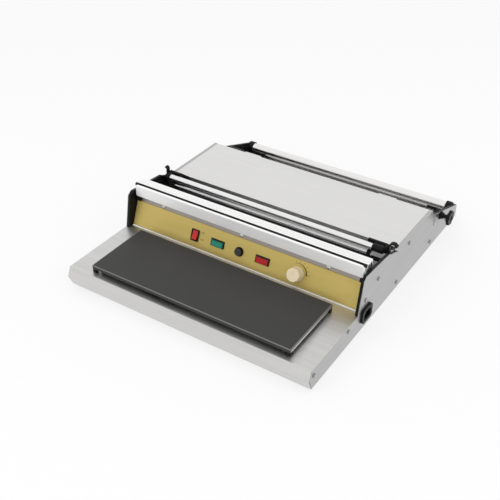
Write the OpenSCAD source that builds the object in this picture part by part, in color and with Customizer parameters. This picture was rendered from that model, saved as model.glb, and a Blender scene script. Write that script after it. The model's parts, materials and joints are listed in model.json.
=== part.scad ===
/* [Body] */
// overall width over the side skins
body_w = 485; // [440:1:520]
// overall length from the nose to the rear edge
body_len = 585; // [560:1:620]
// stainless sheet thickness
sheet_t = 1.2; // [0.8:0.1:2]
// moulded side cheek thickness
cheek_t = 5; // [4:0.5:8]
// foot height
foot_h = 6; // [4:0.5:10]
// clearance between separate pieces
gap = 0.3; // [0.2:0.05:0.5]
// radial clearance of running fits
run_fit = 0.05; // [0.02:0.01:0.1]

/* [Base tray] */
// height of the tray top above the table
tray_z = 44.4; // [40:0.1:50]
// how far the folded nose stands forward
nose_out = 7.5; // [5:0.5:12]
// height of the nose fold
nose_z = 27; // [20:1:34]
// distance from the front edge to the side step
step_y = 150.7; // [145:0.1:160]

/* [Hot plate] */
// width of the sealing plate
plate_w = 397.6; // [380:0.2:410]
// depth of the sealing plate
plate_d = 130.9; // [120:0.1:140]
// front edge of the plate
plate_y = 10.4; // [8:0.1:16]
// top of the plate above the table
plate_z = 58.4; // [54:0.1:62]
// plate centre in X
plate_cx = 1.2; // [0:0.1:3]
// slab thickness
slab_t = 7.2; // [5:0.1:10]
// non-stick cover thickness
cover_t = 0.8; // [0.4:0.1:1.2]
// inset of the frame below the slab
frame_inset = 8; // [4:0.5:12]
// heater tube diameter
tube_d = 6.4; // [5:0.1:8]
// spacing of the heater runs
run_pitch = 20; // [16:1:24]

/* [Control panel] */
// foot of the leaning panel, from the front edge
panel_y = 162.6; // [158:0.1:170]
// lean of the panel from upright
lean = 23.1; // [10:0.1:35]
// panel length along the slope
panel_h = 46.6; // [40:0.1:55]
// height of the control row along the slope
row_s = 23; // [18:0.5:28]
// rocker centre
rocker_x = -96.4; // [-120:0.1:-80]
// green lamp centre
green_x = -47.3; // [-60:0.1:-40]
// fuse centre
fuse_x = -1.4; // [-10:0.1:10]
// red lamp centre
red_x = 46.5; // [35:0.1:60]
// thermostat centre
knob_x = 116; // [100:0.5:130]
// thermostat knob diameter
knob_d = 24; // [20:0.5:32]

/* [Cutter bar] */
// front face of the bar
bar_y = 176.5; // [170:0.5:182]
// underside of the bar
bar_z = 101.5; // [96:0.5:106]
// bar height
bar_h = 22.6; // [18:0.1:28]
// bar depth
bar_d = 3.2; // [2.6:0.1:5]
// bend radius along its top edge
bar_r = 2.5; // [1.5:0.1:3]
// cutter rod diameter with its sleeve
cutter_d = 4.4; // [3:0.1:6]

/* [Film rollers] */
// distance of the guide rollers from the front edge
guide_y = 262; // [255:1:270]
// guide roller height
guide_z = 103; // [98:0.5:108]
// guide roller diameter
guide_d = 11.6; // [8:0.1:14]
// guide rod height
rod_z = 88.8; // [85:0.1:92]
// guide rod diameter
rod_d = 5.6; // [4:0.1:8]
// grip roller height
grip_z = 79.5; // [75:0.1:82]
// grip roller diameter over the rings
grip_d = 6.4; // [5:0.1:8]
// pitch of the grip rings
ring_pitch = 5; // [4:0.5:8]
// rear roller distance from the rear edge
rear_back = 13.5; // [12:0.5:20]
// rear roller height
rear_z = 28.5; // [24:0.5:40]
// rear roller diameter
rear_d = 21; // [12:0.5:26]

/* [Deck] */
// deck front edge
deck_y0 = 298.9; // [290:0.1:305]
// distance from the deck's rear edge to the rear of the body
deck_back = 137.1; // [130:0.1:145]
// deck top height
deck_z = 90.7; // [85:0.1:95]
// hinge barrel diameter
barrel_d = 6; // [5:0.5:8]
// hinge centre distance in X
hinge_x = 150; // [100:5:190]

/* [Roll spindle] */
// spindle distance from the rear of the body
spin_back = 91.5; // [84:0.5:98]
// spindle height
spin_z = 57; // [50:1:62]
// spindle screw diameter
screw_d = 8; // [7:0.5:9]
// star knob diameter
star_d = 29; // [26:1:36]
// number of star lobes
lobes = 7; // [5:1:9]

/* [Hidden] */
$fa = 6;
$fs = 0.4;
y_front = nose_out - body_len / 2;
y_rear = body_len - nose_out;
knob_out = 15.5;
knob_h = 6;
screw_head = 1.8;
lug_t = 2.4;
lug_r = 7;
lug_arc = 160;
half_w = body_w / 2;
skin_x = half_w - sheet_t;
cheek_x = skin_x - cheek_t;
x_mid = (knob_out + knob_h - screw_head) / 2;
panel_hw = cheek_x - 1.7;
deck_hw = cheek_x - gap;
deck_y1 = y_rear - deck_back;
spin_y = y_rear - spin_back;
rear_y = y_rear - rear_back;
rear_hl = cheek_x - 11.3;
cone_x = cheek_x - 37.8;
pan_z = foot_h;
floor_z = pan_z + sheet_t;
lip_y = 14;
slab_z = plate_z - cover_t - slab_t;
open_hw = plate_w / 2 - 14.8;
open_y0 = plate_y + 15.6;
open_y1 = plate_y + plate_d - 15.3;
clamp_x = 0.302 * plate_w;
steel = [0.8, 0.81, 0.82];
bright = [0.88, 0.89, 0.9];
black = [0.06, 0.06, 0.07];
gold = [0.78, 0.62, 0.22];
ivory = [0.93, 0.9, 0.78];
panel_t = 1.2;
back_t = 1.5;
p0z = tray_z + 0.5;
seat_y = bar_y + bar_d + gap;
seat_z = bar_z + 0.2;
seat_d = 18;
seat_h = 23.5;
ledge_d = 4.3;
ledge_z = seat_z + seat_h - 4.6;
cutter_y = seat_y + ledge_d / 2;
cutter_z = ledge_z + 1;
hinge_y = deck_y1 + 3.8;
hinge_z = deck_z - 4.2;
block_x2 = cheek_x - 8.3;
bear_r = block_x2 - 19.7;
bear_l = block_x2 - 9.8;
leg_w = 5;
key_tilt = 11;
deck_under = deck_z - sheet_t;
grip_hl = cheek_x - 31.3;
pin_spots = [[-7, -1.5], [0, 2.5], [7, -1.5]];
inlet_y = step_y + 26.8;
inlet_z = 34.5;
inlet_w = 35.5;
inlet_h = 28.5;

// shift from the front edge and the body centre to the middle of the overall box
module at_front() {
    translate([-x_mid, y_front, 0]) children();
}

// extrude a Y-Z profile along X
module along_x(x0, w) {
    translate([x0, 0, 0])
        rotate([90, 0, 90])
            linear_extrude(height = w) children();
}

module both_sides() {
    children();
    mirror([1, 0, 0]) children();
}

// one straight leg of folded sheet with round bends at both ends
module leg(p, q, t) {
    d = q - p;
    translate(p)
        rotate(atan2(d[1], d[0]))
            translate([0, -t / 2])
                square([norm(d), t]);
    translate(p) circle(d = t);
    translate(q) circle(d = t);
}

module fold(pts, t) {
    for (i = [0 : len(pts) - 2]) leg(pts[i], pts[i + 1], t);
}

// place local X-Y on the leaning panel face, local Z pointing out
module on_panel(x = 0, s = 0) {
    translate([0, panel_y, p0z])
        rotate([90 - lean, 0, 0])
            translate([x, s, 0]) children();
}

module rounded_rect(w, h, r) {
    square([w - 2 * r, h], center = true);
    square([w, h - 2 * r], center = true);
    for (i = [-1, 1], j = [-1, 1])
        translate([i * (w / 2 - r), j * (h / 2 - r)]) circle(r = r);
}

module x_rod(x0, w, y, z, r) {
    translate([x0, y, z]) rotate([0, 90, 0]) cylinder(h = w, r = r);
}

// side outline shared by cheek and skin; lift raises the visible top edges
function side_top(lift) = [
    [step_y + 0.2, tray_z - sheet_t + lift],
    [step_y + 13.2, 104.8 + lift],
    [step_y + 21.5, 111.3 + lift],
    [256, 104 + lift],
    [262, 100 + lift],
    [290, deck_under],
    [deck_y1 + 0.6, deck_under],
    [deck_y1 + 8.6, 76.5 + lift],
    [y_rear - 1, 32 + lift],
    [y_rear, 30],
    [y_rear, floor_z]
];

module skin_outline() {
    polygon(concat([[3.4, floor_z], [-nose_out + 2, nose_z], [1.7, tray_z - sheet_t]], side_top(0)));
}

module cheek_outline() {
    polygon(concat([[step_y + 0.2, floor_z]], side_top(0.6)));
}

module base_tray() {
    color(steel) at_front() difference() {
        along_x(-half_w, body_w)
            fold([[lip_y - sheet_t / 2, pan_z + sheet_t / 2], [2.2, pan_z + sheet_t / 2],
                [-nose_out + sheet_t / 2, nose_z], [0.7, tray_z - sheet_t / 2],
                [panel_y + 4, tray_z - sheet_t / 2], [panel_y + 4, tray_z - 12]], sheet_t);
        translate([plate_cx - open_hw, open_y0, tray_z - 5])
            cube([2 * open_hw, open_y1 - open_y0, 10]);
        both_sides() translate([cheek_x - gap, step_y, tray_z - 20]) cube([20, 40, 40]);
        // clearance behind the panel foot for the inlet body
        translate([cheek_x - 22, panel_y + 0.4, tray_z - 20]) cube([30, 20, 40]);
    }
}

module bottom_pan() {
    color(steel) at_front() difference() {
        union() {
            translate([-half_w, lip_y + gap, pan_z]) cube([body_w, y_rear - lip_y - gap, sheet_t]);
            translate([-cheek_x + gap, y_rear - sheet_t, pan_z])
                cube([2 * (cheek_x - gap), sheet_t, 12]);
        }
        for (i = [-4 : 4], j = [0 : 2])
            translate([i * 34 - 9, 60 + j * 16, pan_z - 1]) cube([18, 4, 4]);
        foot_spots() translate([0, 0, -1]) cylinder(h = 20, d = 4.4);
    }
}

module foot_spots() {
    for (x = [-1, 1], y = [24, y_rear / 2 + 11.3, y_rear - 25.5])
        translate([x * (half_w - 16), y, 0]) children();
}

module rubber_feet() {
    color(black) at_front() foot_spots() difference() {
        union() {
            cylinder(h = foot_h - 2, d1 = 15, d2 = 18);
            translate([0, 0, foot_h - 2]) cylinder(h = 2, d = 18);
        }
        translate([0, 0, -1]) cylinder(h = 3.5, d = 9);
        cylinder(h = foot_h + 1, d = 4.4);
    }
}

module foot_screws() {
    color(bright) at_front() foot_spots() {
        translate([0, 0, 0.7]) cylinder(h = 1.8, d = 7.6);
        cylinder(h = floor_z + 5, d = 4);
        translate([0, 0, floor_z]) cylinder(h = 3.2, d = 7, $fn = 6);
    }
}

module hot_plate() {
    color(bright) at_front() difference() {
        translate([plate_cx - plate_w / 2 + cover_t, plate_y + cover_t, slab_z])
            cube([plate_w - 2 * cover_t, plate_d - 2 * cover_t, slab_t]);
        clamp_spots() translate([0, 0, slab_z - 1]) cylinder(h = 5, d = 4);
    }
}

module clamp_spots() {
    for (i = [-1, 0, 1], s = [-1, 1])
        translate([plate_cx + i * clamp_x, plate_y + plate_d / 2 + s * 1.5 * run_pitch, 0]) children();
}

module ptfe_cover() {
    flap = 2.6;
    color(black) at_front() {
        along_x(plate_cx - plate_w / 2, plate_w) {
            translate([plate_y, plate_z - cover_t]) square([plate_d, cover_t]);
            translate([plate_y, slab_z + 0.6]) square([cover_t, slab_t]);
            translate([plate_y + plate_d - cover_t, slab_z + 0.6]) square([cover_t, slab_t]);
        }
        for (x = [plate_cx - plate_w / 2, plate_cx + plate_w / 2 - cover_t])
            translate([x, plate_y, plate_z - flap]) cube([cover_t, plate_d, flap]);
    }
}

module plate_frame() {
    fw = plate_w - 2 * frame_inset;
    fd = plate_d - 2 * frame_inset;
    color(black) at_front()
        translate([plate_cx, plate_y + plate_d / 2, tray_z])
            linear_extrude(height = slab_z - tray_z)
                difference() {
                    rounded_rect(fw, fd, 4);
                    rounded_rect(fw - 12, fd - 12, 2);
                }
}

module corner_clips() {
    color(black) at_front()
        translate([plate_cx, plate_y + plate_d / 2, tray_z])
            for (i = [-1, 1], j = [-1, 1])
                 translate([i * (plate_w / 2 - 3.6), j * (plate_d / 2 - 3.6), 0])
                    translate([-3.4, -3.4, 0]) cube([6.8, 6.8, slab_z - tray_z]);
}

// one run of the serpentine element, then a half-ring turn at alternate ends
module heater_tube() {
    rl = plate_w / 2 - 48.8;
    r = tube_d / 2;
    color(bright) at_front() translate([plate_cx, plate_y + plate_d / 2, slab_z - r]) {
        for (i = [-2 : 2]) x_rod(-rl, 2 * rl, i * run_pitch, 0, r);
        for (i = [-2 : 1])
            translate([(i % 2 == 0 ? 1 : -1) * rl, (i + 0.5) * run_pitch, 0])
                rotate([0, 0, i % 2 == 0 ? -90 : 90])
                    rotate_extrude(angle = 180) translate([run_pitch / 2, 0]) circle(r = r);
        for (s = [-1, 1])
            translate([-s * rl, s * 2 * run_pitch, -12]) cylinder(h = 12 + r / 2, r = r);
    }
}

module heater_clamps() {
    z = slab_z - tube_d - 1.5;
    color(steel) at_front() difference() {
        for (i = [-1, 0, 1])
            translate([plate_cx + i * clamp_x - 7, open_y0 + 2, z]) cube([14, open_y1 - open_y0 - 4, 1.5]);
        clamp_spots() translate([0, 0, z - 1]) cylinder(h = 5, d = 4.4);
    }
}

module clamp_studs() {
    z = slab_z - tube_d - 1.5;
    color(bright) at_front() clamp_spots() {
        translate([0, 0, z - 5]) cylinder(h = slab_z - z + 5 + 3.7, d = 3.9);
        translate([0, 0, z - 3.2]) cylinder(h = 3.2, d = 8, $fn = 6);
    }
}

module heat_shield() {
    z = tray_z - sheet_t - sheet_t / 2;
    y0 = open_y0 - 6;
    y1 = open_y1 + 8;
    color(steel) at_front() along_x(-open_hw - 21, 2 * open_hw + 42)
        fold([[y0 - 8, z], [y0, z], [y0, 26], [y1, 26], [y1, z], [y1 + 8, z]], sheet_t);
}

module cheek() {
    along_x(cheek_x, cheek_t) cheek_outline();
    // moulded stiffening rim along the inner bottom
    translate([cheek_x - 3, step_y + 30, floor_z]) cube([3, y_rear - step_y - 46.8, 3]);
}

module inlet_hole(x, d) {
    translate([x, inlet_y - 14.2, inlet_z - 10.2]) cube([d, 28.4, 19.4]);
}

module cheek_left() {
    color(black) at_front() mirror([1, 0, 0]) difference() {
        cheek();
        x_rod(cheek_x - 1, cheek_t + 2, spin_y, spin_z, 4);
        screw_spots() rotate([0, 90, 0]) translate([0, 0, cheek_x - 1]) cylinder(h = cheek_t + 2, d = 3.6);
    }
}

module cheek_right() {
    color(black) at_front() difference() {
        cheek();
        x_rod(cheek_x - 1, cheek_t + 2, spin_y, spin_z, 7.1);
        inlet_hole(cheek_x - 1, cheek_t + 2);
        screw_spots() rotate([0, 90, 0]) translate([0, 0, cheek_x - 1]) cylinder(h = cheek_t + 2, d = 3.6);
    }
}

module screw_spots() {
    for (p = [[218.2, 78], [y_rear - 130.7, 18.6], [step_y + 23.6, 62.8], [300, 18],
        [y_rear - 57.5, 30], [340, 78]])
        translate([0, p[0], p[1]]) children();
}

// fixings of the skin in front of the cheek
module rivet_spots() {
    for (p = [[step_y - 32.8, 36.5], [8.3, 30.2]])
        translate([0, p[0], p[1]]) children();
}

module skin() {
    difference() {
        union() {
            along_x(skin_x, sheet_t) skin_outline();
            // folded top flange beside the deck
            translate([cheek_x, 290, deck_under]) cube([half_w - cheek_x, deck_y1 - 289.4, sheet_t]);
        }
        screw_spots() rotate([0, 90, 0]) translate([0, 0, skin_x - 1]) cylinder(h = 4, d = 3.6);
        rivet_spots() rotate([0, 90, 0]) translate([0, 0, skin_x - 1]) cylinder(h = 4, d = 3.6);
        long_slot(deck_y1 + 14.8, 57);
    }
}

module long_slot(y, z) {
    translate([skin_x - 1, y - 1.5, z - 6]) cube([4, 3, 12]);
    x_rod(skin_x - 1, 4, y, z - 6, 1.5);
    x_rod(skin_x - 1, 4, y, z + 6, 1.5);
}

module skin_left() {
    color(steel) at_front() mirror([1, 0, 0]) skin();
}

module skin_right() {
    color(steel) at_front() difference() {
        skin();
        x_rod(skin_x - 1, 4, spin_y, spin_z, 7.1);
        inlet_hole(skin_x - 1, 4);
    }
}

module side_screws() {
    color(bright) at_front() both_sides() {
        screw_spots() {
            x_rod(half_w, screw_head, 0, 0, 3.6);
            x_rod(cheek_x + 0.6, cheek_t + sheet_t, 0, 0, 1.75);
        }
        rivet_spots() {
            x_rod(half_w, screw_head, 0, 0, 3.6);
            x_rod(skin_x - 3, sheet_t + 4, 0, 0, 1.75);
            x_rod(skin_x - 2.4, 2.4, 0, 0, 3.2);
        }
    }
}

module panel_backing() {
    s0 = 1.4;
    cz = back_t / 2 + panel_t;
    y0 = panel_y + cz * cos(lean) + s0 * sin(lean);
    z0 = p0z - cz * sin(lean) + s0 * cos(lean);
    zt = seat_z - back_t / 2;
    yt = y0 + (zt - z0) * tan(lean);
    color(steel) at_front() difference() {
        along_x(-cheek_x + gap, 2 * (cheek_x - gap))
            fold([[y0, z0], [yt, zt], [yt + 13, zt]], back_t);
        on_panel() panel_holes();
        panel_screw_spots() translate([0, 0, -4]) cylinder(h = 8, d = 3.6);
    }
}

module panel_screw_spots() {
    for (x = [-176, -4.4, 167.5]) on_panel(x, 52.4) children();
}

module panel_holes() {
    translate([rocker_x, row_s, -6]) linear_extrude(height = 12) square([14.2, 19.8], center = true);
    for (x = [green_x, red_x])
        translate([x, row_s, -6]) linear_extrude(height = 12) square([26.1, 12.1], center = true);
    translate([fuse_x, row_s, -6]) cylinder(h = 12, d = 12.6);
    translate([knob_x, row_s, -6]) cylinder(h = 12, d = 10.6);
}

module control_panel() {
    color(gold) at_front() on_panel() difference() {
        translate([0, panel_h / 2 + 1.2, -panel_t])
            linear_extrude(height = panel_t) rounded_rect(2 * panel_hw, panel_h, 1.5);
        panel_holes();
    }
}

module panel_lip() {
    r = 1;
    color(ivory) at_front() {
        x_rod(-panel_hw, 2 * panel_hw, panel_y - r, tray_z + r, r);
        translate([-panel_hw, panel_y - 2 * r, tray_z]) cube([2 * panel_hw, 2 * r, r]);
    }
}

module panel_screws() {
    color(bright) at_front() panel_screw_spots() {
        translate([0, 0, -panel_t]) intersection() {
            cylinder(h = 2.2, d = 7);
            translate([0, 0, -4.2]) sphere(r = 6.4);
        }
        translate([0, 0, -7]) cylinder(h = 7, d = 3.5);
    }
}

module panel_blocks() {
    color(black) at_front() for (i = [-1, 1])
        on_panel(i * (panel_hw - 4), panel_h + 1.4) translate([0, 3.6, -panel_t])
            linear_extrude(height = 5) rounded_rect(8, 7, 1);
}

// sheet section with one large rounded front-top corner
module bar_shape(w, h, r) {
    intersection() {
        square([w, h]);
        union() {
            square([w, h - r]);
            translate([r, 0]) square([w, h]);
            translate([r, h - r]) circle(r = r);
        }
    }
}

module bar_block(hl, inset) {
    r = bar_r - inset;
    intersection() {
        along_x(-hl, 2 * hl)
            translate([bar_y + inset, bar_z + inset])
                bar_shape(bar_d - inset + (inset > 0 ? 1 : 0), bar_h - 2 * inset, r);
        translate([0, bar_y + inset + 20, 0])
            linear_extrude(height = 200) rounded_rect(2 * hl, 40, 3 - inset);
        translate([0, bar_y + 40, bar_z]) rotate([90, 0, 0])
            linear_extrude(height = 80) rounded_rect(2 * hl, 2 * (bar_h - inset), 6 - inset);
    }
}

module front_bar() {
    hl = cheek_x - 1.8;
    color(bright) at_front() difference() {
        bar_block(hl, 0);
        bar_block(hl - sheet_t, sheet_t);
    }
}

// hollow extrusion with a grooved top and a ledge with a round seat for the cutter
module cutter_seat() {
    wall = 2;
    y1 = seat_y + ledge_d;
    top = seat_z + seat_h;
    color(bright) at_front() along_x(-cheek_x, 2 * cheek_x) difference() {
        union() {
            translate([seat_y, seat_z]) square([ledge_d + 1, ledge_z - seat_z]);
            translate([y1, seat_z]) square([seat_d, seat_h]);
        }
        for (y = [y1 + wall, y1 + (seat_d + wall) / 2])
            translate([y, seat_z + wall]) square([(seat_d - 3 * wall) / 2, seat_h - 2 * wall - 1]);
        for (i = [0 : 3])
            translate([y1 + 3 + i * 3.6, top - 0.9]) square([1.2, 2]);
        translate([cutter_y, cutter_z]) circle(d = cutter_d + 2 * run_fit);
    }
}

module cutter_rod() {
    color(black) at_front()
        x_rod(-cheek_x + 10.6, 2 * (cheek_x - 10.6), cutter_y, cutter_z, cutter_d / 2);
}

module cutter_caps() {
    color(black) at_front() both_sides()
        translate([cheek_x - 10.3, seat_y, ledge_z]) cube([10.3 - gap, ledge_d - 0.1, 4.6]);
}

module guide_roller() {
    x0 = -bear_l + 0.4;
    x1 = bear_r - 0.4;
    color(bright) at_front() {
        x_rod(x0, x1 - x0, guide_y, guide_z, guide_d / 2);
        x_rod(x0 - 7, x1 - x0 + 20, guide_y, guide_z, 3);
    }
}

module guide_rod() {
    x0 = -bear_l + 9.3 - leg_w;
    x1 = bear_r - 9.3 + leg_w;
    color(bright) at_front() x_rod(x0, x1 - x0, guide_y, rod_z, rod_d / 2);
}

// bearing block: arm behind the roller, bearing at its end and a thin leg for the guide rod
module block_arm(x1, bore) {
    y0 = guide_y + 9;
    z0 = deck_under - 6.5;
    z1 = guide_z - 9;
    z2 = guide_z + 7;
    leg_x = x1 - 9.3;
    difference() {
        union() {
            along_x(x1 - 14, block_x2 - x1 + 14)
                polygon([[deck_y0, z0], [deck_y0, deck_z], [y0 + 4, z2], [y0, z2], [y0, z1], [y0 + 10, z0]]);
            along_x(x1, block_x2 - x1) {
                translate([guide_y, guide_z]) circle(r = 6.8);
                translate([guide_y, guide_z - 3]) square([12, 8]);
            }
            along_x(leg_x, leg_w) {
                translate([guide_y, rod_z]) circle(r = 4.6);
                polygon([[guide_y - 3, rod_z + 3.4], [guide_y + 6, z1 + 2], [y0 + 2, z1 + 4], [y0 + 6, z1 - 3],
                    [guide_y + 3, rod_z - 3.4]]);
            }
        }
        x_rod(x1 - 1, bore + 1, guide_y, guide_z, 3 + run_fit);
        x_rod(leg_x - 1, leg_w + 2, guide_y, rod_z, rod_d / 2 + 0.02);
    }
}

module roller_block_right() {
    color(black) at_front() block_arm(bear_r, 14);
}

module roller_block_left() {
    color(black) at_front() mirror([1, 0, 0]) block_arm(bear_l, 8);
}

// ringed profile of the grip roller, built as one turned outline
function ring_pts(n, r0, r1) = [
    for (i = [0 : n - 1]) each [
        [r0, i * ring_pitch], [r1, i * ring_pitch + 0.8],
        [r1, i * ring_pitch + 2.8], [r0, i * ring_pitch + 3.6]
    ]
];

module grip_roller() {
    n = floor(2 * grip_hl / ring_pitch);
    r1 = grip_d / 2;
    r0 = r1 - 0.9;
    ext = 17;
    color(black) at_front()
        translate([-grip_hl, guide_y + 2, grip_z]) rotate([0, 90, 0]) {
            rotate_extrude()
                polygon(concat([[0, 0]], ring_pts(n, r0, r1), [[r0, 2 * grip_hl], [0, 2 * grip_hl]]));
            translate([0, 0, -ext]) cylinder(h = 2 * grip_hl + 2 * ext, r = 2);
        }
}

module grip_holders() {
    y = guide_y + 2;
    color(black) at_front() both_sides() difference() {
        union() {
            x_rod(grip_hl + 0.5, cheek_x - grip_hl - 0.5, y, grip_z, 3.6);
            x_rod(cheek_x - 9, 9, y, grip_z, 5.4);
            translate([cheek_x - 3, y - 12, grip_z - 9]) cube([3, 24, 14]);
        }
        x_rod(grip_hl - 1, 20, y, grip_z, 2 + run_fit);
    }
}

// finger lugs: upright blades with the top curled outwards, the left one set in and smaller
module film_lugs() {
    color(black) at_front() {
        lug(cheek_x - lug_t, 110.4, lug_r, lug_arc);
        mirror([1, 0, 0]) {
            lug(cheek_x - 6.3, 114, 3.6, 100);
            translate([cheek_x - 5, guide_y + 4, grip_z + 5.7]) cube([5, 8, 10]);
        }
    }
}

module lug(x, zc, r, arc) {
    w = 8;
    y0 = guide_y + 4;
    z0 = grip_z + 5.7;
    translate([x, y0, z0]) cube([lug_t, w, zc - z0]);
    translate([x + r + lug_t / 2, y0, zc]) rotate([-90, 0, 0]) rotate([0, 0, 180])
        rotate_extrude(angle = arc) translate([r - lug_t / 2, 0]) square([lug_t, w]);
}

module deck() {
    hx = cheek_x - 0.6;
    color(steel) at_front() {
        translate([-deck_hw, deck_y0, deck_under]) cube([2 * deck_hw, deck_y1 - deck_y0, sheet_t]);
        translate([-hx, deck_y0, 82]) cube([2 * hx, sheet_t, deck_under - 82]);
        translate([-hx, deck_y1 - sheet_t, 78.5]) cube([2 * hx, sheet_t, deck_under - 78.5]);
        for (s = [-1, 1])
            translate([s * (hx - sheet_t / 2) - sheet_t / 2, deck_y0 + 2, 80])
                cube([sheet_t, deck_y1 - deck_y0 - 4, deck_under - 80]);
    }
}

module deck_stiffeners() {
    z = deck_under - sheet_t / 2;
    color(steel) at_front() for (y = [deck_y0 + 31.1, deck_y1 - 55.4])
        along_x(-grip_hl, 2 * grip_hl)
            fold([[y, z], [y + 8, z], [y + 8, z - 9], [y + 26, z - 9], [y + 26, z], [y + 34, z]], sheet_t);
}

module hinge_leaves_deck() {
    color(bright) at_front() both_sides() translate([hinge_x, 0, 0]) difference() {
        union() {
            x_rod(-8, 16, hinge_y, hinge_z, barrel_d / 2);
            translate([-8, deck_y1, 79]) cube([16, 1.4, hinge_z - 79]);
            translate([-18, deck_y1, 79]) cube([36, 1.4, 5]);
        }
        x_rod(-10, 20, hinge_y, hinge_z, 1.5 + run_fit);
    }
}

module hinge_leaves_fixed() {
    yb = hinge_y + barrel_d / 2 + 0.8;
    color(bright) at_front() both_sides() translate([hinge_x, 0, 0]) {
        for (s = [-1, 1]) translate([s * 13.3 - 5, 0, 0]) {
            x_rod(0, 10, hinge_y, hinge_z, barrel_d / 2);
            translate([0, hinge_y + barrel_d / 2 - 0.6, 64]) cube([10, 1.4, hinge_z - 64]);
        }
        x_rod(-18, 36, hinge_y, hinge_z, 1.5);
        translate([-18.3, yb - 1.4, 62]) cube([36.6, 1.4, 12]);
    }
}

module rear_rail() {
    y = hinge_y + barrel_d / 2 + 0.8 + sheet_t / 2;
    color(steel) at_front() along_x(-cheek_x, 2 * cheek_x)
        fold([[y + 14, 75.4 - 6], [y + 14, 70], [y, 75.4], [y, 58], [y + 14, 58]], sheet_t);
}

module partition() {
    y = guide_y - 26;
    color(steel) at_front() difference() {
        along_x(-cheek_x + 3 + gap, 2 * (cheek_x - 3 - gap))
            fold([[y + 10, floor_z + sheet_t / 2], [y, floor_z + sheet_t / 2], [y, 66]], sheet_t);
        for (i = [-5 : 5], j = [0, 1])
            translate([i * 30 - 9, y - 6, 30 + j * 14]) cube([18, 12, 4]);
    }
}

module rear_roller() {
    color(bright) at_front() {
        x_rod(-rear_hl, 2 * rear_hl, rear_y, rear_z, rear_d / 2);
        x_rod(-rear_hl - 7, 2 * rear_hl + 14, rear_y, rear_z, 4);
    }
}

module rear_bushes() {
    rc = rear_d / 2 + 2;
    color(black) at_front() both_sides() {
        difference() {
            union() {
                x_rod(rear_hl + 0.6, cheek_x - rear_hl - 0.6, rear_y, rear_z, rc);
                translate([cheek_x - 3, rear_y - 22, rear_z - 12]) cube([3, 22, 18]);
            }
            x_rod(rear_hl - 5, 12.4, rear_y, rear_z, 4 + run_fit);
        }
        // cradle that hangs below the roller end
        difference() {
            x_rod(rear_hl - 35, 36, rear_y, rear_z, rc);
            x_rod(rear_hl - 36, 38, rear_y, rear_z, rear_d / 2 + 0.8);
            translate([rear_hl - 36, rear_y - 20, rear_z - 4]) cube([36.6, 40, 30]);
        }
    }
}

module spindle_boss() {
    color(black) at_front() difference() {
        union() {
            x_rod(half_w, 1.5, spin_y, spin_z, 8.5);
            x_rod(half_w, 6, spin_y, spin_z, 6.4);
            x_rod(cheek_x - 4, cheek_t + 6, spin_y, spin_z, 7);
            translate([cheek_x - 4, spin_y, spin_z]) rotate([0, 90, 0]) cylinder(h = 4, r = 11, $fn = 6);
        }
        x_rod(cheek_x - 6, 40, spin_y, spin_z, screw_d / 2 + run_fit);
    }
}

// fluted hand wheel fixed on the spindle screw
module star_knob() {
    x0 = half_w + knob_out;
    h = knob_h;
    color(black) at_front() {
        difference() {
            union() {
                x_rod(x0, h, spin_y, spin_z, star_d / 2);
                x_rod(x0 - 3, 4, spin_y, spin_z, 6);
            }
            for (i = [0 : lobes - 1])
                translate([x0 - 1, spin_y, spin_z]) rotate([i * 360 / lobes, 0, 0])
                    translate([0, star_d / 2 + 2.8, 0]) rotate([0, 90, 0]) cylinder(h = h + 2, r = 4.8);
            x_rod(x0 + h - 1.2, 3, spin_y, spin_z, 5);
        }
        x_rod(cone_x + 11.5, x0 - cone_x - 10.5, spin_y, spin_z, screw_d / 2);
        x_rod(cone_x - 0.5, 13, spin_y, spin_z, 2);
        x_rod(cone_x - 2.1, 1.8, spin_y, spin_z, 4.4);
    }
}

module spindle_sleeve() {
    color([0.75, 0.6, 0.3]) at_front() difference() {
        union() {
            x_rod(cone_x, 11.2, spin_y, spin_z, 3.2);
            x_rod(cone_x + 9.7, 1.5, spin_y, spin_z, 5);
        }
        x_rod(cone_x - 8, 30, spin_y, spin_z, 2 + run_fit);
    }
}

module core_cone() {
    difference() {
        translate([cone_x, spin_y, spin_z]) rotate([0, 90, 0]) {
            cylinder(h = 8, r1 = 4.8, r2 = 6.6);
            translate([0, 0, 8]) cylinder(h = 1.4, r = 7.4);
        }
        x_rod(cone_x - 8, 30, spin_y, spin_z, 3.2 + run_fit);
    }
}

module core_cone_right() {
    color(black) at_front() core_cone();
}

module core_cone_left() {
    color(black) at_front() mirror([1, 0, 0]) core_cone();
}

module core_stub() {
    color(bright) at_front() mirror([1, 0, 0]) {
        x_rod(cone_x + 9.7, cheek_x - cone_x - 9.7, spin_y, spin_z, 6.5);
        x_rod(cone_x - 1.5, 12, spin_y, spin_z, 3.2);
        x_rod(cone_x - 2.1, 1.8, spin_y, spin_z, 4.4);
        x_rod(cheek_x - 1, cheek_t, spin_y, spin_z, 3.9);
    }
}

// flange with its corners cut at 45 degrees
module flange_shape(w, h, c) {
    polygon([[c - w / 2, -h / 2], [w / 2 - c, -h / 2], [w / 2, c - h / 2], [w / 2, h / 2 - c],
        [w / 2 - c, h / 2], [c - w / 2, h / 2], [-w / 2, h / 2 - c], [-w / 2, c - h / 2]]);
}

module power_inlet() {
    color(black) at_front() difference() {
        union() {
            translate([half_w, inlet_y, inlet_z]) rotate([90, 0, 90])
                linear_extrude(height = 4.5) flange_shape(inlet_w, inlet_h, 5);
            translate([half_w - 24, inlet_y - 14, inlet_z - 10]) cube([25, 28, 19]);
        }
        translate([half_w - 14, inlet_y, inlet_z]) rotate([90, 0, 90])
            linear_extrude(height = 30)
                polygon([[-12, -8], [12, -8], [12, 3], [7, 8], [-7, 8], [-12, 3]]);
        for (p = pin_spots)
            translate([half_w - 30, inlet_y + p[0] - 1.05, inlet_z + p[1] - 2.05]) cube([27, 2.1, 4.1]);
    }
}

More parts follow.
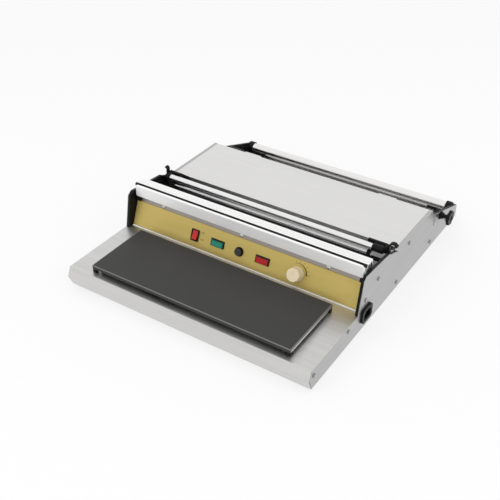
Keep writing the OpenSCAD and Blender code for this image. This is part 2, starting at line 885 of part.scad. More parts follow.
module inlet_pins() {
    color([0.8, 0.7, 0.4]) at_front() for (p = pin_spots)
        translate([half_w - 30, inlet_y + p[0] - 1, inlet_z + p[1] - 2]) cube([27, 2, 4]);
}

module rocker_housing() {
    color(black) at_front() on_panel(rocker_x, row_s) difference() {
        union() {
            linear_extrude(height = 2) rounded_rect(16.6, 21.6, 1.2);
            translate([-7, -9.8, -20]) cube([14, 19.6, 20.5]);
        }
        translate([-5.5, -9.2, -9]) cube([11, 18.4, 20]);
        x_rod(-6.6, 13.2, 0, -1.5, 1.2 + run_fit);
    }
}

// see-saw key, stored with its upper half pressed in
module rocker_key() {
    color([0.8, 0.08, 0.06]) at_front() on_panel(rocker_x, row_s)
        translate([0, 0, -1.5]) rotate([-key_tilt, 0, 0]) {
            along_x(-5.2, 10.4) difference() {
                polygon([[-8.3, 4.7], [0, 3.2], [8.3, 4.7], [8.3, 1], [3, -4], [-3, -4], [-8.3, 1]]);
                for (i = [-2 : 2]) translate([5.6 + i * 1.2, 5.35 + i * 0.2]) circle(r = 0.5);
            }
            x_rod(-6.5, 13, 0, 0, 1.2);
        }
}

module lamp_housings() {
    color(black) at_front() for (x = [green_x, red_x]) on_panel(x, row_s) difference() {
        union() {
            linear_extrude(height = 1.2) rounded_rect(28.5, 14, 1.2);
            translate([-13, -6, -22]) cube([26, 12, 22.5]);
        }
        translate([-11.7, -4.9, -12]) cube([23.4, 9.8, 20]);
    }
}

module lens(x) {
    at_front() on_panel(x, row_s) {
        translate([-11.5, -4.7, -6]) cube([23, 9.4, 7.2]);
        translate([0, 0, 1.2]) linear_extrude(height = 1.6) rounded_rect(26.4, 12, 1);
        translate([0, 0, 2.8]) linear_extrude(height = 0.8) rounded_rect(24.4, 10, 1);
    }
}

module lens_green() {
    color([0.1, 0.6, 0.35]) lens(green_x);
}

module lens_red() {
    color([0.85, 0.12, 0.1]) lens(red_x);
}

module fuse_holder() {
    color(black) at_front() on_panel(fuse_x, row_s) difference() {
        union() {
            cylinder(h = 2, d = 17);
            translate([0, 0, -30]) cylinder(h = 31, d = 12.4);
            translate([0, 0, -panel_t - back_t - 3.2]) cylinder(h = 3, d = 18, $fn = 6);
        }
        translate([0, 0, -24]) cylinder(h = 40, d = 9.4);
    }
}

module fuse_cap() {
    color(black) at_front() on_panel(fuse_x, row_s) difference() {
        union() {
            translate([0, 0, 2.2]) cylinder(h = 4.3, d = 13.4);
            translate([0, 0, -14]) cylinder(h = 17, d = 9.3);
        }
        translate([-5, -0.7, 5.3]) cube([10, 1.4, 3]);
    }
}

module thermostat() {
    color(steel) at_front() on_panel(knob_x, row_s) difference() {
        union() {
            translate([0, 0, -panel_t - back_t - 15]) cylinder(h = 15, d = 34);
            translate([-23, -6, -panel_t - back_t - 2]) cube([46, 12, 2]);
            translate([0, 0, -3]) cylinder(h = 3.4, d = 10);
            for (s = [-1, 1])
                translate([s * 8 - 3, -2, -panel_t - back_t - 24]) cube([6, 0.8, 10]);
        }
        translate([0, 0, -12]) cylinder(h = 20, d = 6 + 2 * run_fit);
    }
}

// thermostat knob with a fluted skirt and a raised pointer rib
module thermostat_knob() {
    flutes = 18;
    h = 17;
    z0 = 1.2;
    color(ivory) at_front() on_panel(knob_x, row_s) {
        difference() {
            union() {
                translate([0, 0, z0]) cylinder(h = h - 1, d = knob_d);
                translate([0, 0, z0 + h - 1]) cylinder(h = 1, d1 = knob_d, d2 = knob_d - 2);
                translate([0, 0, z0]) cylinder(h = 2, d = knob_d + 1.6);
            }
            for (i = [0 : flutes - 1])
                rotate([0, 0, i * 360 / flutes])
                    translate([knob_d / 2 + 0.35, 0, z0 + 3]) cylinder(h = h, r = 0.9);
            translate([0, 0, z0 - 1]) difference() {
                cylinder(h = 5, d = knob_d - 5);
                cylinder(h = 6, d = 12);
            }
            translate([0, 0, z0 + h - 0.6]) cylinder(h = 2, d = 9);
        }
        translate([-0.8, 5.2, z0 + h - 0.2]) cube([1.6, 8, 0.7]);
        translate([0, 0, -11]) cylinder(h = 13, d = 6);
    }
}

// crescent scale round the upper right of the knob, thickest at its lower end
module dial_ring() {
    r = 18;
    color(black) at_front() on_panel(knob_x, row_s) linear_extrude(height = 0.25) {
        intersection() {
            difference() {
                circle(r = r);
                translate([-0.9, 0.5]) circle(r = r - 1.1);
            }
            polygon([[0, 0], [40 * cos(5), 40 * sin(5)], [40, 40], [40 * cos(115), 40 * sin(115)]]);
        }
        for (i = [0 : 5])
            rotate(8 + i * 20) translate([r + 0.9, -0.3]) square([1.6, 0.6]);
    }
}

base_tray();
bottom_pan();
rubber_feet();
foot_screws();
hot_plate();
ptfe_cover();
plate_frame();
corner_clips();
heater_tube();
heater_clamps();
clamp_studs();
heat_shield();
cheek_left();
cheek_right();
skin_left();
skin_right();
side_screws();
panel_backing();
control_panel();
panel_lip();
panel_screws();
panel_blocks();
front_bar();
cutter_seat();
cutter_rod();
cutter_caps();
guide_roller();
guide_rod();
roller_block_left();
roller_block_right();
grip_roller();
grip_holders();
film_lugs();
deck();
deck_stiffeners();
hinge_leaves_deck();
hinge_leaves_fixed();
rear_rail();
partition();
rear_roller();
rear_bushes();
spindle_boss();
star_knob();
spindle_sleeve();
core_cone_right();
core_cone_left();
core_stub();
power_inlet();
inlet_pins();
rocker_housing();
rocker_key();
lamp_housings();
lens_green();
lens_red();
fuse_holder();
fuse_cap();
thermostat();
thermostat_knob();
dial_ring();
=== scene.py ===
import json
from math import cos, radians, sin
import bmesh
import bpy
from mathutils import Matrix, Vector


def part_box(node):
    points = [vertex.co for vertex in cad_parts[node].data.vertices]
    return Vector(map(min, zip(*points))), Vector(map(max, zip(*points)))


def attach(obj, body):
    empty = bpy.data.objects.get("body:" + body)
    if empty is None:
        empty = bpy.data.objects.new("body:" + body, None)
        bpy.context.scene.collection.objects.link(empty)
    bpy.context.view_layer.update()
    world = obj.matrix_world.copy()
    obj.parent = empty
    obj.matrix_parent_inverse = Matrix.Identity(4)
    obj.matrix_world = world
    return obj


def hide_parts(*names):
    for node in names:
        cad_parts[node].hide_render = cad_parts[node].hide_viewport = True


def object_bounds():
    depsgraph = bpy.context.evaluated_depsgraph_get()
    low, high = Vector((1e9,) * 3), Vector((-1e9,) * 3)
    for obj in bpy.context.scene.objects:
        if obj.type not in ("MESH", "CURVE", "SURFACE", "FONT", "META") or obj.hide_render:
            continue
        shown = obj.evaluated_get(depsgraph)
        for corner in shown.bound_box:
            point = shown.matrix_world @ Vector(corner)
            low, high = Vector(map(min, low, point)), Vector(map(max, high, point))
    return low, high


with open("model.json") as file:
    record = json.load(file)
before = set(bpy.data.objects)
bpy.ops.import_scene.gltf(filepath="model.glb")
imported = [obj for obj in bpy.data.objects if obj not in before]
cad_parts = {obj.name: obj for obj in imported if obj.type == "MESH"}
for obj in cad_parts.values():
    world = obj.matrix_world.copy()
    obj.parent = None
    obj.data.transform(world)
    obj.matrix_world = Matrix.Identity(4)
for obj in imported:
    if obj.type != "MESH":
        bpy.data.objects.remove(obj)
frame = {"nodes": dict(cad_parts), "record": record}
nodes = frame["nodes"]
rest_of = {name: body for body, names in frame["record"]["behaviour"]["bodies"].items() for name in names}
cad_low, cad_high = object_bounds()

# --- Camera --------------------------------------------------------------------------
# A short telephoto above the right front corner, aimed just in front of the machine's
# middle from 1.46 m away, 33 degrees round to the right and 35 degrees up.
camera_turn, camera_drop = 32.84, 35.16
lens = bpy.data.cameras.new("camera")
lens.lens = 58.88
lens.sensor_width = 36
lens.shift_x = -0.01704
lens.shift_y = -0.00422
lens.clip_end = 20
camera = bpy.data.objects.new("camera", lens)
camera.location = (0.64625, -1.0703, 0.8916)
camera.rotation_euler = (radians(90 - camera_drop), 0, radians(camera_turn))
bpy.context.collection.objects.link(camera)
bpy.context.scene.camera = camera

# --- Studio --------------------------------------------------------------------------
# A white sweep of paper under three soft boxes: one large overhead, a broad one from the
# front and a weak one from the right rear, with an even white room around them.
sweep_half, sweep_drop, sweep_glow, room_glow = 14, 0.0002, 0.7, 0.75
bpy.context.scene.view_settings.view_transform = "Standard"


def feed(tree, part, inputs):
    """Link the sockets among the inputs to the node, and set the others as its own values."""
    for key, value in inputs.items():
        if isinstance(value, bpy.types.NodeSocket):
            tree.links.new(value, part.inputs[key])
        else:
            part.inputs[key].default_value = value


def node_in(tree, kind, inputs=None, **settings):
    """A new node of the kind, with its settings made and its inputs fed."""
    made = tree.nodes.new("ShaderNode" + kind)
    for key, value in settings.items():
        setattr(made, key, value)
    feed(tree, made, inputs or {})
    return made


def maths(tree, operation, *values):
    """The result of one operation on one or two values."""
    return node_in(tree, "Math", dict(enumerate(values)), operation=operation).outputs[0]


def ramp(tree, value, start=0.0, end=1.0, low=0.0, high=1.0):
    """The value carried from the span start to end onto the span low to high, and held there."""
    spans = {"Value": value, "From Min": start, "From Max": end, "To Min": low, "To Max": high}
    return node_in(tree, "MapRange", spans).outputs[0]


def blank(name):
    """A new material, its node tree and its shader."""
    made = bpy.data.materials.new(name)
    made.use_nodes = True
    return made, made.node_tree, made.node_tree.nodes["Principled BSDF"]


def seen_or_mirrored(tree):
    """1 for rays from the camera, off gloss or through glass, and 0 for the light on the object."""
    rays = node_in(tree, "LightPath").outputs
    straight = maths(tree, "MAXIMUM", rays["Is Camera Ray"], rays["Is Glossy Ray"])
    return maths(tree, "MAXIMUM", straight, rays["Is Transmission Ray"])


paper, sheet, matt = blank("paper_sweep")
feed(sheet, matt, {"Base Color": (0.96, 0.96, 0.96, 1), "Roughness": 0.9, "Specular IOR Level": 0.1})
white = node_in(sheet, "Emission", {"Color": (1, 1, 1, 1), "Strength": 1.0})
share = maths(sheet, "MULTIPLY", seen_or_mirrored(sheet), sweep_glow)
lit = node_in(sheet, "MixShader", {0: share, 1: matt.outputs[0], 2: white.outputs[0]})
feed(sheet, sheet.nodes["Material Output"], {"Surface": lit.outputs[0]})
sweep = bmesh.new()
bmesh.ops.create_grid(sweep, x_segments=24, y_segments=24, size=sweep_half)
bmesh.ops.transform(sweep, matrix=Matrix.Translation((0, 0, -sweep_drop)), verts=sweep.verts)
floor_mesh = bpy.data.meshes.new("floor")
sweep.to_mesh(floor_mesh)
sweep.free()
floor_mesh.materials.append(paper)
floor = bpy.data.objects.new("floor", floor_mesh)
bpy.context.collection.objects.link(floor)

room = bpy.data.worlds.new("room")
bpy.context.scene.world = room
room.use_nodes = True
air = room.node_tree
air.nodes.clear()
glow = ramp(air, seen_or_mirrored(air), low=room_glow)
shine = node_in(air, "Background", {"Color": (1, 1, 1, 1), "Strength": glow})
node_in(air, "OutputWorld", {"Surface": shine.outputs[0]})


def soft_box(name, place, aim, size, power):
    """An area lamp that lights the object and isn't mirrored in it."""
    lamp = bpy.data.lights.new(name, "AREA")
    lamp.shape = "RECTANGLE"
    lamp.size, lamp.size_y = size
    lamp.energy = power
    box = bpy.data.objects.new(name, lamp)
    box.location = place
    box.rotation_euler = (Vector(aim) - Vector(place)).to_track_quat("-Z", "Y").to_euler()
    box.visible_glossy = False
    bpy.context.collection.objects.link(box)


soft_box("overhead", (0.3, -0.7, 2.2), (0, 0, 0), (3.6, 3.0), 12.5)
soft_box("front", (-0.5, -2.4, 1.5), (0, 0, 0.05), (4.2, 2.4), 15.5)
soft_box("right_rear", (1.9, 0.9, 1.1), (0, 0, 0.05), (2.0, 1.6), 5)

# --- Base tray -----------------------------------------------------------------------
# One sheet of 1.2 mm stainless steel, brushed along its width and folded on a press:
# the nose is two open bends, and the opening under the plate is punched out.
weld = 2e-6
flat_bend, sharp_bend, soft_bend = radians(1), radians(32), radians(50)


def grain(tree, spread, detail=3.0, rough=0.6, offset=(0, 0, 0)):
    """Noise over the piece, as fine along each axis as the spread says."""
    place = node_in(tree, "TexCoord").outputs["Object"]
    turned = node_in(tree, "Mapping", {"Vector": place, "Scale": spread, "Location": offset}).outputs[0]
    noise = {"Vector": turned, "Scale": 1.0, "Detail": detail, "Roughness": rough}
    return node_in(tree, "TexNoise", noise).outputs[0]


def running(axis, across, along):
    """The spread of a grain that runs along x, y or z."""
    return [along if other == axis else across for other in "xyz"]


def blend(tree, factor, first, second):
    """The tone between two, each of them a colour or a socket."""
    ends = {6: first, 7: second}
    for slot, end in ends.items():
        if not isinstance(end, bpy.types.NodeSocket):
            ends[slot] = (*end, 1)
    return node_in(tree, "Mix", {"Factor": factor, **ends}, data_type="RGBA").outputs[2]


def relief(tree, height, strength, distance):
    """The surface normal over a fine relief."""
    return node_in(tree, "Bump", {"Strength": strength, "Distance": distance, "Height": height}).outputs[0]


def brushed_sheet(name, tone, along, rough=0.36, streak=0.04, metallic=1.0):
    """Metal brushed along x, y or z: long fine scratches, a broader drift and faint handling marks."""
    made, tree, skin = blank(name)
    scratch = grain(tree, running(along, 1400.0, 9.0), 3.0, 0.7)
    drift = grain(tree, running(along, 150.0, 2.5), 4.0, 0.6, (0.3, 0.7, 0.1))
    marks = grain(tree, (9, 9, 9), 3.0, 0.55)
    both = maths(tree, "ADD", scratch, drift)
    dark = [c * (1 - streak) for c in tone]
    light = [min(c * (1 + streak), 1) for c in tone]
    gloss = ramp(tree, scratch, 0.3, 0.7, rough - 0.06, rough + 0.08)
    worn = ramp(tree, marks, 0.35, 0.7, -0.02, 0.05)
    feed(tree, skin, {
        "Base Color": blend(tree, ramp(tree, both, 0.75, 1.25), dark, light),
        "Roughness": maths(tree, "ADD", gloss, worn),
        "Normal": relief(tree, both, 0.35, 0.00006),
        "Metallic": metallic,
    })
    return made


def merged(name):
    """A working copy of the CAD piece, with its triangles joined and its flat faces whole."""
    form = bmesh.new()
    form.from_mesh(nodes[name].data)
    bmesh.ops.remove_doubles(form, verts=form.verts, dist=weld)
    bmesh.ops.dissolve_limit(form, angle_limit=flat_bend, verts=form.verts, edges=form.edges)
    return form


def faired(form, name):
    """A mesh of the form whose flat faces stay flat up to the smooth edges round them."""
    form.normal_update()
    areas = {face: face.calc_area() for face in form.faces}
    normals = []
    for face in form.faces:
        face.smooth = True
        for corner in face.loops:
            meeting = corner.vert.link_faces
            near = [other for other in meeting if other.normal.dot(face.normal) > cos(soft_bend)]
            normals.append(sum((other.normal * areas[other] for other in near), Vector()).normalized())
    mesh = bpy.data.meshes.new(name)
    form.to_mesh(mesh)
    form.free()
    if "custom_normal" in mesh.attributes:
        mesh.attributes.remove(mesh.attributes["custom_normal"])
    mesh.normals_split_custom_set(normals)
    return mesh


def standing_for(name, mesh):
    """A piece of the mesh that rides where the CAD piece does and is shown in its place."""
    piece = bpy.data.objects.new(mesh.name, mesh)
    bpy.context.collection.objects.link(piece)
    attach(piece, rest_of[name])
    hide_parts(name)
    return piece


def eased(name, width, segments=2):
    """The CAD piece with its sharp edges broken."""
    form = merged(name)
    sharp = [e for e in form.edges if len(e.link_faces) == 2 and e.calc_face_angle() > sharp_bend]
    bmesh.ops.bevel(form, geom=sharp, offset=width, offset_type="OFFSET", segments=segments, affect="EDGES",
                    profile=0.5, material=-1, clamp_overlap=True)
    return standing_for(name, faired(form, name + "_eased"))


def clothe(piece, material):
    """Give a new piece its material."""
    piece.data.materials.clear()
    piece.data.materials.append(material)


tray_steel = brushed_sheet("tray_steel", (0.62, 0.615, 0.607), "x", 0.36, 0.07)
clothe(eased("base_tray", 0.0004), tray_steel)

# --- Bottom pan ----------------------------------------------------------------------
# The closing sheet underneath, from the same steel, with punched vent slots. The screws
# of the feet pass through it.


def coat(names, material):
    """Give CAD pieces, shown as they are, a material."""
    for name in names:
        for place in nodes[name].material_slots:
            place.material = material


coat(["bottom_pan"], brushed_sheet("pan_steel", (0.66, 0.655, 0.65), "y", 0.36))

# --- Feet and their screws -------------------------------------------------------------
# Six turned rubber feet, dull with a little bloom, each held by a zinc plated screw and a
# hexagon nut.
foot_rubber, tree, skin = blank("foot_rubber")
bloom = grain(tree, (260, 260, 260), 4.0)
feed(tree, skin, {
    "Base Color": blend(tree, bloom, (0.012, 0.012, 0.012), (0.035, 0.034, 0.033)),
    "Roughness": ramp(tree, bloom, low=0.62, high=0.85),
})
coat(["rubber_feet"], foot_rubber)


def plated(name, tone, rough, pit):
    """Plated or cast small metal: a soft mottle, with tiny pits."""
    made, tree, skin = blank(name)
    mottle = grain(tree, (380, 380, 380), 4.0)
    pits = grain(tree, (2200, 2200, 2200), 2.0)
    dark = [c * 0.86 for c in tone]
    light = [min(c * 1.1, 1) for c in tone]
    feed(tree, skin, {
        "Base Color": blend(tree, mottle, dark, light),
        "Roughness": ramp(tree, mottle, low=rough - 0.08, high=rough + 0.1),
        "Normal": relief(tree, pits, pit, 0.00005),
        "Metallic": 1.0,
    })
    return made


zinc = plated("zinc_plate", (0.7, 0.7, 0.71), 0.28, 0.2)
coat(["foot_screws"], zinc)

# --- Hot plate and its cover -----------------------------------------------------------
# A cast aluminium slab under a taut cover of glass cloth soaked in black PTFE. The cloth
# is folded down over the front and rear edges, and a highlight is painted paler along the edges of its top
# face.
highlight_out, highlight_in, highlight_top_out, highlight_top_in = 0.0007, 0.0014, 0.0009, 0.0016
coat(["hot_plate"], plated("plate_aluminium", (0.83, 0.83, 0.83), 0.3, 0.3))


def coated_cloth(name):
    """Black cloth with a fine weave, a cloudy gloss and a painted highlight along the edges of its top."""
    made, tree, skin = blank(name)
    place = node_in(tree, "TexCoord").outputs["Object"]
    threads = []
    for axis, phase in (("X", 0.0), ("Y", 1.2)):
        wave = {"Vector": place, "Scale": 330.0, "Distortion": 0.3, "Detail": 1.0, "Phase Offset": phase}
        threads.append(node_in(tree, "TexWave", wave, bands_direction=axis).outputs["Fac"])
    weave = maths(tree, "MAXIMUM", *threads)
    cloud = grain(tree, (14, 14, 14), 5.0, 0.62)
    tone = blend(tree, cloud, (0.03, 0.0295, 0.029), (0.042, 0.041, 0.04))
    low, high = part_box("ptfe_cover")
    spot = node_in(tree, "SeparateXYZ", {0: place}).outputs
    sides = []
    for axis, edge, way in (("Y", low[1], 1), ("Y", high[1], -1), ("X", low[0], 1), ("X", high[0], -1)):
        sides.append(ramp(tree, spot[axis], edge + way * highlight_in, edge + way * highlight_out))
    highlight_band = sides[0]
    for side in sides[1:]:
        highlight_band = maths(tree, "MAXIMUM", highlight_band, side)
    # Painted highlight: the cloth is made paler along the edges of its top face only.
    crown = ramp(tree, spot["Z"], high[2] - highlight_top_in, high[2] - highlight_top_out)
    painted_edge_highlight = maths(tree, "MULTIPLY", highlight_band, crown)
    feed(tree, skin, {
        "Base Color": blend(tree, painted_edge_highlight, tone, (0.2, 0.197, 0.193)),
        "Roughness": ramp(tree, cloud, 0.3, 0.7, 0.42, 0.56),
        "Normal": relief(tree, weave, 0.3, 0.00008),
        "Specular IOR Level": 0.3,
    })
    return made


clothe(eased("ptfe_cover", 0.0006, 3), coated_cloth("ptfe_cloth"))

# --- Frame under the plate, corner feet, heater ----------------------------------------
# A moulded heat-proof frame carries the slab. Below it a bent tubular heater is held by
# three clamp bars on studs, over a folded shield.


def moulded(name, dark, light, rough, texture=1600.0, depth=0.25, shine=0.16, lacquer=0.0):
    """Injection moulding with a spark-eroded texture, slightly shinier where hands rub it."""
    made, tree, skin = blank(name)
    pits = grain(tree, (texture, texture, texture), 2.0)
    cloud = grain(tree, (55, 55, 55), 3.0)
    feed(tree, skin, {
        "Base Color": blend(tree, cloud, dark, light),
        "Roughness": ramp(tree, cloud, 0.3, 0.7, rough - 0.06, rough + 0.08),
        "Normal": relief(tree, pits, depth, 0.00006),
        "Specular IOR Level": shine,
        "Coat Weight": lacquer,
    })
    return made


heat_black = moulded("heat_black", (0.005, 0.005, 0.005), (0.011, 0.0105, 0.01), 0.52)
clothe(eased("plate_frame", 0.0004), heat_black)
coat(["corner_clips"], heat_black)
coat(["heater_tube"], plated("heater_steel", (0.42, 0.38, 0.34), 0.4, 0.3))
coat(["heater_clamps", "clamp_studs"], zinc)
coat(["heat_shield"], brushed_sheet("shield_steel", (0.6, 0.59, 0.58), "x", 0.4))

# --- Side cheeks -----------------------------------------------------------------------
# Moulded black side walls that hold every shaft; their top edge stands just proud of the
# steel skin as a dark trim line.
cheek_black = moulded("cheek_black", (0.004, 0.004, 0.0042), (0.009, 0.009, 0.0095), 0.46)
for name in ("cheek_left", "cheek_right"):
    clothe(eased(name, 0.0005), cheek_black)

# --- Side skins and their screws ---------------------------------------------------------
# Steel side sheets, brushed front to rear. The longer of their fasteners are screws with
# a cross recess, put in from outside, and the short ones are plain rivets.
rivet_length = 0.0085
head_level = 1e-5
cross_long, cross_wide, cross_turn = 0.0042, 0.0009, 37
side_steel = brushed_sheet("side_steel", (0.485, 0.48, 0.48), "y", 0.4, 0.05)
for name in ("skin_left", "skin_right"):
    clothe(eased(name, 0.0003), side_steel)


def heads_of(name, outward):
    """The middle of each fastener's head, the way it faces and the fastener's length."""
    form = bmesh.new()
    form.from_mesh(nodes[name].data)
    bmesh.ops.remove_doubles(form, verts=form.verts, dist=weld)
    seen, heads = set(), []
    for first in form.verts:
        if first in seen:
            continue
        group, grow = [], [first]
        seen.add(first)
        while grow:
            vert = grow.pop()
            group.append(vert.co.copy())
            for other in (edge.other_vert(vert) for edge in vert.link_edges):
                if other not in seen:
                    seen.add(other)
                    grow.append(other)
        axis = outward(group[0])
        reach = [co.dot(axis) for co in group]
        rim = [co for co, far in zip(group, reach) if far > max(reach) - head_level]
        heads.append((sum(rim, Vector()) / len(rim), axis, max(reach) - min(reach)))
    form.free()
    return heads


def cut_away(body, mill):
    """The body's mesh less the mill's."""
    cutter = bpy.data.objects.new("mill", mill)
    stock = bpy.data.objects.new("stock", body)
    for helper in (cutter, stock):
        bpy.context.collection.objects.link(helper)
    slots = stock.modifiers.new("slots", "BOOLEAN")
    slots.operation = "DIFFERENCE"
    slots.object = cutter
    slots.solver = "EXACT"
    bpy.context.view_layer.update()
    cut = bpy.data.meshes.new_from_object(stock.evaluated_get(bpy.context.evaluated_depsgraph_get()))
    for helper in (cutter, stock):
        bpy.data.objects.remove(helper)
    return cut


def cross_recessed(name, heads, deep):
    """The CAD fasteners with a cross recess milled into each of the heads, one slot at a time."""
    form = merged(name)
    worked = bpy.data.meshes.new(name + "_stock")
    form.to_mesh(worked)
    form.free()
    for slot_turn in (0, 90):
        bits = bmesh.new()
        for index, (place, axis, _) in enumerate(heads):
            lie = Matrix.Translation(place) @ axis.to_track_quat("Z", "Y").to_matrix().to_4x4()
            spun = Matrix.Rotation(radians(slot_turn + cross_turn * index), 4, "Z")
            bar = Matrix.Diagonal((cross_long, cross_wide, 2 * deep, 1))
            bmesh.ops.create_cube(bits, size=1, matrix=lie @ (spun @ bar))
        mill = bpy.data.meshes.new("mill")
        bits.to_mesh(mill)
        bits.free()
        worked = cut_away(worked, mill)
    form = bmesh.new()
    form.from_mesh(worked)
    return standing_for(name, faired(form, name + "_milled"))


middle = (cad_low[0] + cad_high[0]) / 2
side_heads = heads_of("side_screws", lambda spot: Vector((1 if spot.x > middle else -1, 0, 0)))
screws = [head for head in side_heads if head[2] > rivet_length]
screw_steel = plated("screw_steel", (0.36, 0.36, 0.37), 0.3, 0.2)
clothe(cross_recessed("side_screws", screws, 0.0009), screw_steel)

# --- Panel backing and gold panel ------------------------------------------------------
# The backing is folded steel. The panel in front is aluminium, brushed along its length
# and anodised gold, with an ivory bead along its foot and three screws above it.
panel_lean = radians(23.1)
# The backing's darker, warm grey tone is painted shade under the cutter bar and a painted reflection of the
# gold panel.
coat(["panel_backing"], brushed_sheet("backing_steel_shaded", (0.37, 0.337, 0.308), "x", 0.42))
gold, tree, skin = blank("gold_anodised")
scratch = grain(tree, running("x", 1300, 12), 3.0, 0.7)
both = maths(tree, "ADD", scratch, grain(tree, running("x", 40, 4), 3.0))
feed(tree, skin, {
    "Base Color": blend(tree, ramp(tree, both, 0.75, 1.25), (0.56, 0.43, 0.122), (0.64, 0.495, 0.148)),
    "Roughness": ramp(tree, scratch, low=0.42, high=0.56),
    "Normal": relief(tree, scratch, 0.25, 0.00004),
    "Metallic": 0.35,
})
clothe(eased("control_panel", 0.0003), gold)
coat(["panel_lip"], moulded("ivory_bead", (0.93, 0.9, 0.81), (0.99, 0.96, 0.88), 0.35, 900, 0.1, 0.4))
out_of_panel = Vector((0, -cos(panel_lean), sin(panel_lean)))
panel_heads = heads_of("panel_screws", lambda spot: out_of_panel)
clothe(cross_recessed("panel_screws", panel_heads, 0.001), zinc)
coat(["panel_blocks"], heat_black)

# --- Cutter bar, seat and cutter rod ---------------------------------------------------
# The bar is a folded and polished stainless shield. Behind it an aluminium extrusion
# carries the heated cutter rod in a black PTFE sleeve, closed by moulded caps.
bar_steel = brushed_sheet("bar_steel", (0.97, 0.965, 0.96), "x", 0.52, 0.04, 0.45)
clothe(eased("front_bar", 0.0005), bar_steel)
seat_aluminium = brushed_sheet("seat_aluminium", (0.96, 0.96, 0.955), "x", 0.22, 0.03)
clothe(eased("cutter_seat", 0.00025), seat_aluminium)
coat(["cutter_rod"], moulded("sleeve_black", (0.004, 0.004, 0.004), (0.008, 0.008, 0.008), 0.5, 500, 0.1))
coat(["cutter_caps"], cheek_black)

# --- Film rollers ----------------------------------------------------------------------
# The guide roller and rod are drawn aluminium, ground bright. The thin grip roller below
# is moulded rubber with close rings.
drawn = brushed_sheet("drawn_aluminium", (0.84, 0.84, 0.84), "x", 0.26, 0.04)
coat(["guide_roller", "guide_rod"], drawn)
coat(["grip_roller"], moulded("grip_rubber", (0.012, 0.012, 0.012), (0.024, 0.024, 0.024), 0.55))
coat(["grip_holders", "film_lugs"], cheek_black)
for name in ("roller_block_left", "roller_block_right"):
    clothe(eased(name, 0.0005), cheek_black)

# --- Deck ------------------------------------------------------------------------------
# The lift-up lid: one brushed sheet with down-turned edges, stiffeners spot welded inside
# and two hinge leaves at the rear.
deck_steel = brushed_sheet("deck_steel", (0.74, 0.736, 0.727), "x", 0.46, 0.022)
clothe(eased("deck", 0.0004), deck_steel)
coat(["deck_stiffeners"], brushed_sheet("stiffener_steel", (0.66, 0.66, 0.65), "x", 0.36))
coat(["hinge_leaves_deck", "hinge_leaves_fixed"], zinc)
coat(["rear_rail", "partition"], brushed_sheet("inner_steel", (0.68, 0.675, 0.67), "x", 0.34))

# --- Rear roller -----------------------------------------------------------------------
# A chromed tube across the rear end, behind the film roll. It runs in moulded bushes,
# which the cheeks hold, as they hold the boss of the roll spindle.
coat(["rear_roller"], brushed_sheet("chromed_tube", (0.82, 0.81, 0.8), "x", 0.2, 0.03))
coat(["rear_bushes", "spindle_boss"], cheek_black)

# --- Roll spindle ----------------------------------------------------------------------
# A moulded star knob on a screw presses a small black cone into the core of the film
# roll; the cone on the left turns on a fixed stub.
clothe(eased("star_knob", 0.0006, 3), moulded("knob_black", (0.004, 0.004, 0.004), (0.01, 0.01, 0.01), 0.4))
coat(["spindle_sleeve"], plated("brass", (0.72, 0.52, 0.22), 0.28, 0.2))
coat(["core_cone_left", "core_cone_right"], cheek_black)
coat(["core_stub"], plated("black_oxide", (0.05, 0.05, 0.05), 0.4, 0.2))

# --- Mains inlet -----------------------------------------------------------------------
# A bare three-pin inlet: a black flanged moulding set into the right side, with tinned
# brass pins.
clothe(eased("power_inlet", 0.0006, 3), cheek_black)
coat(["inlet_pins"], plated("pin_brass", (0.75, 0.62, 0.34), 0.24, 0.1))

# --- Rocker switch ---------------------------------------------------------------------
# A see-saw key moulded in glossy red plastic, in a black bezel pushed through the panel
# from the front.
clothe(eased("rocker_housing", 0.0004), cheek_black)
red_key = moulded("red_key", (0.5, 0.012, 0.008), (0.6, 0.022, 0.014), 0.34, 700, 0.05, 0.3, 0.15)
clothe(eased("rocker_key", 0.0003), red_key)

# --- Indicator lamps -------------------------------------------------------------------
# Coloured plastic caps over black boxes pushed through the panel. A waffle is moulded
# into each cap, with painted shade in its grooves, and the box shows dark round its rim.
rim_out, rim_in = 0.0012, 0.0024
clothe(eased("lamp_housings", 0.0003), cheek_black)


def lamp_cap(name, dark, light):
    """Coloured plastic with a waffle, painted shade in its grooves and a dark toothed rim."""
    made, tree, skin = blank(name + "_plastic")
    low, high = (Vector(corner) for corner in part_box(name))
    half = (high - low) / 2
    place = node_in(tree, "TexCoord").outputs["Object"]
    rows = []
    for axis in ("X", "Z"):
        row = node_in(tree, "TexWave", {"Vector": place, "Scale": 130.0}, bands_direction=axis)
        rows.append(row.outputs["Fac"])
    waffle_and_shade = maths(tree, "MULTIPLY", *rows)
    centre = [-(low[i] + high[i]) / 2 for i in range(3)]
    centred = node_in(tree, "Mapping", {"Vector": place, "Location": centre}).outputs[0]
    spot = node_in(tree, "SeparateXYZ", {0: centred}).outputs
    rims = []
    for axis, reach in (("X", half.x), ("Z", half.z)):
        rims.append(ramp(tree, maths(tree, "ABSOLUTE", spot[axis]), reach - rim_in, reach - rim_out))
    teeth = ramp(tree, waffle_and_shade, low=1.0, high=0.45)
    rim = maths(tree, "MULTIPLY", maths(tree, "MAXIMUM", *rims), teeth)
    feed(tree, skin, {
        # The waffle's darker tone is painted shade in its grooves.
        "Base Color": blend(tree, rim, blend(tree, waffle_and_shade, dark, light), (0.006, 0.006, 0.006)),
        "Normal": relief(tree, waffle_and_shade, 0.25, 0.0002),
        "Roughness": 0.3,
        "Specular IOR Level": 0.25,
        "Coat Weight": 0.12,
    })
    return made


# The darker of each lens's two colours is painted shade for the waffle's grooves.
clothe(eased("lens_green", 0.0004), lamp_cap("lens_green", (0.006, 0.17, 0.115), (0.025, 0.4, 0.28)))
clothe(eased("lens_red", 0.0004), lamp_cap("lens_red", (0.34, 0.003, 0.005), (0.72, 0.016, 0.018)))

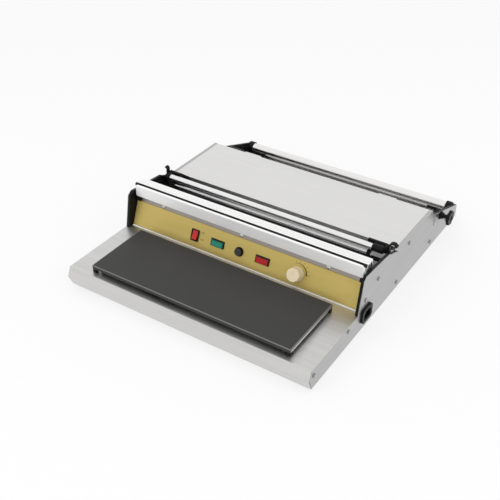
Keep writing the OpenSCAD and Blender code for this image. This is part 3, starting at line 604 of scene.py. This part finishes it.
# --- Fuse holder -----------------------------------------------------------------------
# A black holder through the panel, moulded like the cheeks. Its glossy bayonet cap has a
# slot for a coin.
clothe(eased("fuse_holder", 0.0003), cheek_black)
cap_black = moulded("cap_black", (0.004, 0.004, 0.004), (0.008, 0.008, 0.008), 0.24, 500, 0.05, 0.6)
clothe(eased("fuse_cap", 0.0007, 3), cap_black)

# --- Thermostat, knob and dial ---------------------------------------------------------
# A capillary thermostat body behind the panel, an ivory fluted knob in front, and a
# printed scale round it.
coat(["thermostat"], zinc)
ivory = moulded("ivory_knob", (0.8, 0.68, 0.46), (0.86, 0.74, 0.52), 0.36, 1000, 0.12, 0.4)
clothe(eased("thermostat_knob", 0.0004), ivory)
coat(["dial_ring"], moulded("dial_ink", (0.02, 0.018, 0.015), (0.035, 0.03, 0.025), 0.5))

# --- Printed marks ---------------------------------------------------------------------
# Dark screen print that stands 0.03 mm proud of the gold panel: the two switch positions
# beside the rocker and six small figures round the thermostat scale. Places and letter
# heights are in millimetres, from the middle of the panel's foot.
ink_height = 0.00003
word_height, figure_height = 4.2, 3.2
panel_foot = Vector((-0.00985, -0.1224, 0.0449))
dial_x, dial_up, dial_ring = 116, 23, 22.4
first_figure, figure_step, figures = 8, 20, 6
panel_face = Matrix((
    (1, 0, 0),
    (0, sin(panel_lean), -cos(panel_lean)),
    (0, cos(panel_lean), sin(panel_lean)),
))
print_ink = moulded("print_ink", (0.012, 0.01, 0.008), (0.02, 0.018, 0.014), 0.55)
marks = [("ON", -81, 31.6, word_height), ("OFF", -80.4, 18.7, word_height)]
for step in range(figures):
    turn = radians(first_figure + figure_step * step)
    across, up = dial_x + dial_ring * cos(turn), dial_up + dial_ring * sin(turn)
    marks.append((str(figures - step), across, up, figure_height))
printed = bmesh.new()
for label, across, up, height in marks:
    letters = bpy.data.curves.new("letters", "FONT")
    letters.body = label
    letters.size = height / 1000
    letters.extrude = ink_height
    letters.align_x = "CENTER"
    letters.align_y = "CENTER"
    holder = bpy.data.objects.new("letters", letters)
    flat = bpy.data.meshes.new_from_object(holder)
    flat.transform(panel_face.to_4x4() @ Matrix.Translation((across / 1000, up / 1000, 0)))
    flat.transform(Matrix.Translation(panel_foot))
    printed.from_mesh(flat)
    bpy.data.objects.remove(holder)
print_mesh = bpy.data.meshes.new("panel_print")
printed.to_mesh(print_mesh)
printed.free()
print_mesh.materials.append(print_ink)
panel_print = bpy.data.objects.new("panel_print", print_mesh)
bpy.context.collection.objects.link(panel_print)
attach(panel_print, rest_of["control_panel"])
